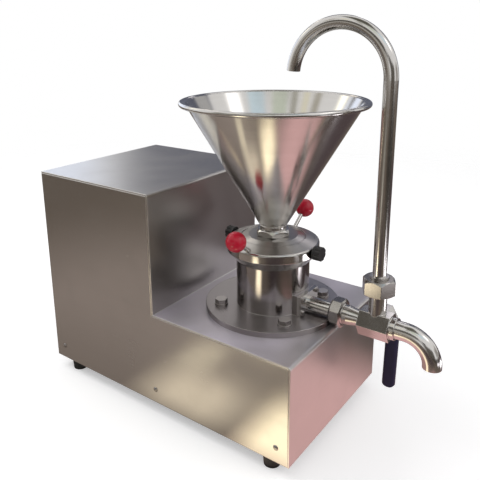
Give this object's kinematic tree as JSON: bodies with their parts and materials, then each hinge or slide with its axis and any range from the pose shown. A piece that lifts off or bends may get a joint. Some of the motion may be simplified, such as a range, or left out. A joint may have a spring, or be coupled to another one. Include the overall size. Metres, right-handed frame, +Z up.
{
  "type": "colloid mill",
  "caption": "Bench colloid mill: L-shaped steel cabinet with a conical feed hopper on an adjustable grinding head, and an outlet valve with a spout and a swivelling return pipe.",
  "frame": {"origin": "on the floor under the middle of the bounding box", "axes": "+X towards the spout, +Y away from the pictured side, +Z up"},
  "size_m": [0.631, 0.2644, 0.581],
  "materials": {
    "cabinet_sheet": "brushed stainless sheet",
    "head_steel": "turned stainless steel",
    "polished_steel": "polished stainless steel",
    "fastener_steel": "plain steel",
    "frame_steel": "dark paint",
    "motor_paint": "blue-grey paint",
    "shaft_steel": "ground steel",
    "cast_grey": "machined cast iron",
    "winding_copper": "lacquered copper",
    "red_ball": "glossy red",
    "green_button": "glossy green",
    "black_plastic": "black plastic",
    "navy_vinyl": "navy dipped vinyl",
    "black_rubber": "black rubber",
    "white_plastic": "white plastic"
  },
  "bodies": {
    "cabinet": {"base_tray": "frame_steel", "feet": "black_rubber", "foot_bolts": "fastener_steel", "wrap_cover": "cabinet_sheet", "near_panel": "cabinet_sheet", "far_panel": "cabinet_sheet", "rear_panel": "cabinet_sheet", "panel_screws": "fastener_steel", "cable_gland": "black_plastic", "head_frame": "frame_steel", "switch_bezel": "black_plastic", "switch_block": "black_plastic", "motor_bracket": "frame_steel", "motor_bolts": "fastener_steel", "motor_frame": "motor_paint", "motor_winding": "winding_copper", "fan_cover": "motor_paint", "terminal_box": "motor_paint", "drive_belts": "black_rubber", "bearing_housing": "cast_grey", "bearing_outer_rings": "shaft_steel", "bearing_balls": "shaft_steel", "seal_seat": "white_plastic", "mill_housing": "head_steel", "flange_bolts": "fastener_steel", "outlet_pipe": "polished_steel", "block_screws": "fastener_steel", "union_nut": "polished_steel", "valve_body": "polished_steel", "valve_seats": "white_plastic", "spout": "polished_steel", "riser_nut": "polished_steel"},
    "motor_shaft": {"motor_rotor": "shaft_steel", "motor_fan": "white_plastic", "drive_pulley": "cast_grey"},
    "mill_spindle": {"spindle": "shaft_steel", "driven_pulley": "cast_grey", "rotor": "head_steel", "feed_nut": "head_steel", "bearing_inner_rings": "shaft_steel", "seal_ring": "shaft_steel"},
    "stator_carrier": {"stator": "head_steel", "cover_disc": "head_steel", "hopper_nut": "polished_steel", "hopper": "polished_steel"},
    "gap_ring": {"adjusting_ring": "head_steel", "lever_rods": "polished_steel", "lever_balls": "red_ball"},
    "front_lock": {"front_lock_stud": "polished_steel", "front_lock_knob": "black_plastic"},
    "rear_lock": {"rear_lock_stud": "polished_steel", "rear_lock_knob": "black_plastic"},
    "valve_plug": {"valve_ball": "polished_steel", "valve_stem": "polished_steel", "valve_lever": "polished_steel", "lever_sleeve": "navy_vinyl", "lever_nut": "polished_steel"},
    "return_pipe": {"gooseneck": "polished_steel"},
    "start_key": {"start_button": "green_button"},
    "stop_key": {"stop_button": "red_ball"}
  },
  "joints": [
    {"name": "motor_spin", "type": "hinge", "parent": "cabinet", "child": "motor_shaft", "pos_m": [-0.1765, 0, 0.165], "axis": [0, 0, 1], "continuous": true},
    {"name": "spindle_spin", "type": "hinge", "parent": "cabinet", "child": "mill_spindle", "pos_m": [0.0625, 0, 0.165], "axis": [0, 0, 1], "continuous": true},
    {"name": "stator_lift", "type": "slide", "parent": "cabinet", "child": "stator_carrier", "axis": [0, 0, 1], "range_m": [0, 0.001]},
    {"name": "ring_turn", "type": "hinge", "parent": "stator_carrier", "child": "gap_ring", "pos_m": [0.0625, 0, 0.2633], "axis": [0, 0, 1], "range_deg": [0, 240]},
    {"name": "front_lock_turn", "type": "hinge", "parent": "gap_ring", "child": "front_lock", "pos_m": [0.1295, 0, 0.2633], "axis": [1, 0, 0], "range_deg": [0, 360]},
    {"name": "rear_lock_turn", "type": "hinge", "parent": "gap_ring", "child": "rear_lock", "pos_m": [-0.0045, 0, 0.2633], "axis": [-1, 0, 0], "range_deg": [0, 360]},
    {"name": "valve_turn", "type": "hinge", "parent": "cabinet", "child": "valve_plug", "pos_m": [0.2265, 0, 0.185], "axis": [0, -1, 0], "range_deg": [0, 90]},
    {"name": "return_swivel", "type": "hinge", "parent": "cabinet", "child": "return_pipe", "pos_m": [0.2265, 0, 0.5045], "axis": [0, 0, 1], "range_deg": [-180, 180]},
    {"name": "start_press", "type": "slide", "parent": "cabinet", "child": "start_key", "axis": [1, 0, 0], "range_m": [0, 0.0035], "stiffness_N_per_m": 500},
    {"name": "stop_press", "type": "slide", "parent": "cabinet", "child": "stop_key", "axis": [1, 0, 0], "range_m": [0, 0.0035], "stiffness_N_per_m": 500}
  ],
  "couplings": [
    {"joint": "spindle_spin", "follows": "motor_spin", "ratio": 1.2353},
    {"joint": "stator_lift", "follows": "ring_turn", "m_per_rad": 0.00023873}
  ]
}
